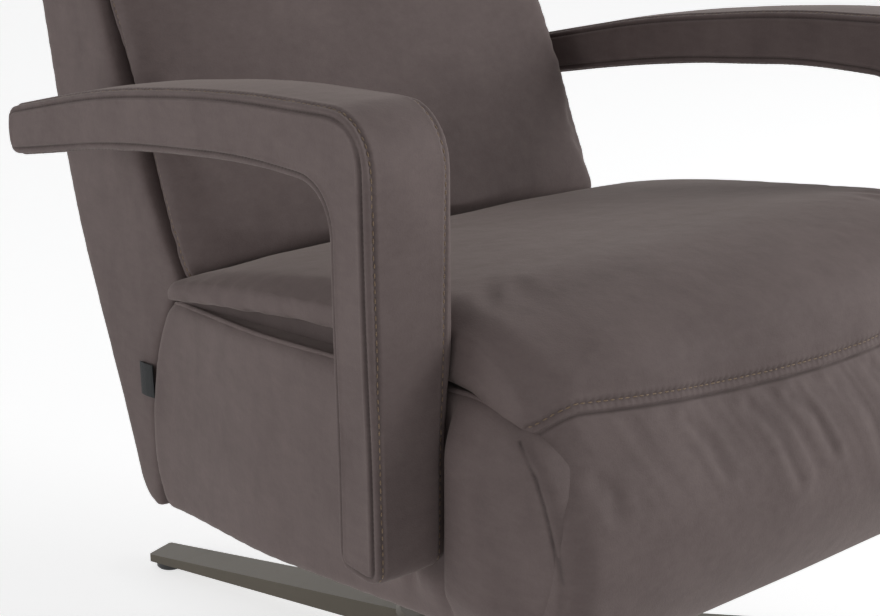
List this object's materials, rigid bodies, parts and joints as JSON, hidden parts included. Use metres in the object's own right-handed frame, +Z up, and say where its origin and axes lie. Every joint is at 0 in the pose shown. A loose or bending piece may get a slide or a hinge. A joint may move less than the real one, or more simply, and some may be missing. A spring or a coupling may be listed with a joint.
{
  "type": "power recliner armchair",
  "caption": "Upholstered swivel armchair with a reclining back, a lifting footrest under the seat and open bent arms, on a flat metal star base.",
  "frame": {"origin": "point on the floor under the swivel axis, in the chair's plane of symmetry", "axes": "+Z up, +Y to the rear of the chair, +X to the side; the sitter faces -Y"},
  "size_m": [0.7032, 0.8466, 1.05],
  "materials": {
    "leather": "taupe brown nubuck leather with a soft nap and tan top stitching",
    "bronze": "satin bronze powder coat",
    "black_steel": "black powder-coated steel",
    "zinc_steel": "zinc-plated steel",
    "bright_steel": "bright drawn steel",
    "black_plastic": "matt black plastic",
    "motor_plastic": "dark grey plastic housing",
    "grey_plastic": "mid grey plastic",
    "webbing": "black elastic webbing",
    "black_fabric": "black non-woven cover",
    "plywood": "birch plywood"
  },
  "bodies": {
    "base": {"base_star": "bronze", "glide_pads": "black_plastic", "swivel_column": "bronze", "spindle_ring": "zinc_steel"},
    "seat": {"swivel_plate": "black_steel", "plate_bolts": "zinc_steel", "rail_left": "black_steel", "rail_right": "black_steel", "cross_tubes": "black_steel", "motor_beam": "black_steel", "dust_cover": "black_fabric", "seat_webbing": "webbing", "carcass_left": "leather", "carcass_right": "leather", "seat_cushion": "leather", "arm_left": "leather", "arm_right": "leather", "arm_bolts": "zinc_steel", "footrest_rod": "zinc_steel", "back_motor": "motor_plastic", "foot_motor": "motor_plastic", "battery_pack": "black_plastic", "control_box": "black_plastic", "switch_panel": "black_plastic"},
    "back": {"back_shell": "leather", "back_frame": "black_steel", "back_webbing": "webbing", "back_cushion": "leather", "headrest_brackets": "black_steel"},
    "headrest": {"headrest_bar": "zinc_steel", "headrest_pad": "leather"},
    "footrest": {"footrest_arms": "black_steel", "footrest_board": "plywood", "footrest_crank": "black_steel", "footrest_pad": "leather"},
    "back_drive_rod": {"back_rod": "bright_steel"},
    "foot_drive_rod": {"foot_rod": "bright_steel"},
    "back_up_button": {"button_back_up": "grey_plastic"},
    "back_down_button": {"button_back_down": "grey_plastic"},
    "foot_up_button": {"button_foot_up": "grey_plastic"},
    "foot_down_button": {"button_foot_down": "grey_plastic"}
  },
  "joints": [
    {"name": "base_swivel", "type": "hinge", "parent": "base", "child": "seat", "pos_m": [0, 0, 0], "axis": [0, 0, 1], "continuous": true},
    {"name": "recline", "type": "hinge", "parent": "seat", "child": "back", "pos_m": [0, 0.086, 0.212], "axis": [-1, 0, 0], "range_deg": [0, 30]},
    {"name": "headrest_tilt", "type": "hinge", "parent": "back", "child": "headrest", "pos_m": [0, 0.251, 0.9], "axis": [1, 0, 0], "range_deg": [0, 35]},
    {"name": "footrest_lift", "type": "hinge", "parent": "seat", "child": "footrest", "pos_m": [0, -0.404, 0.41], "axis": [-1, 0, 0], "range_deg": [0, 80]},
    {"name": "back_rod_slide", "type": "slide", "parent": "seat", "child": "back_drive_rod", "axis": [0, 1, 0], "range_m": [0, 0.04414]},
    {"name": "foot_rod_slide", "type": "slide", "parent": "seat", "child": "foot_drive_rod", "axis": [0, -1, 0], "range_m": [0, 0.0774]},
    {"name": "back_up_press", "type": "slide", "parent": "seat", "child": "back_up_button", "axis": [1, 0, 0], "range_m": [0, 0.0008], "stiffness_N_per_m": 400, "springref_m": -0.0005},
    {"name": "back_down_press", "type": "slide", "parent": "seat", "child": "back_down_button", "axis": [1, 0, 0], "range_m": [0, 0.0008], "stiffness_N_per_m": 400, "springref_m": -0.0005},
    {"name": "foot_up_press", "type": "slide", "parent": "seat", "child": "foot_up_button", "axis": [1, 0, 0], "range_m": [0, 0.0008], "stiffness_N_per_m": 400, "springref_m": -0.0005},
    {"name": "foot_down_press", "type": "slide", "parent": "seat", "child": "foot_down_button", "axis": [1, 0, 0], "range_m": [0, 0.0008], "stiffness_N_per_m": 400, "springref_m": -0.0005}
  ],
  "couplings": [
    {"joint": "back_rod_slide", "follows": "recline", "m_per_rad": 0.083926},
    {"joint": "foot_rod_slide", "follows": "footrest_lift", "m_per_rad": 0.055288}
  ]
}
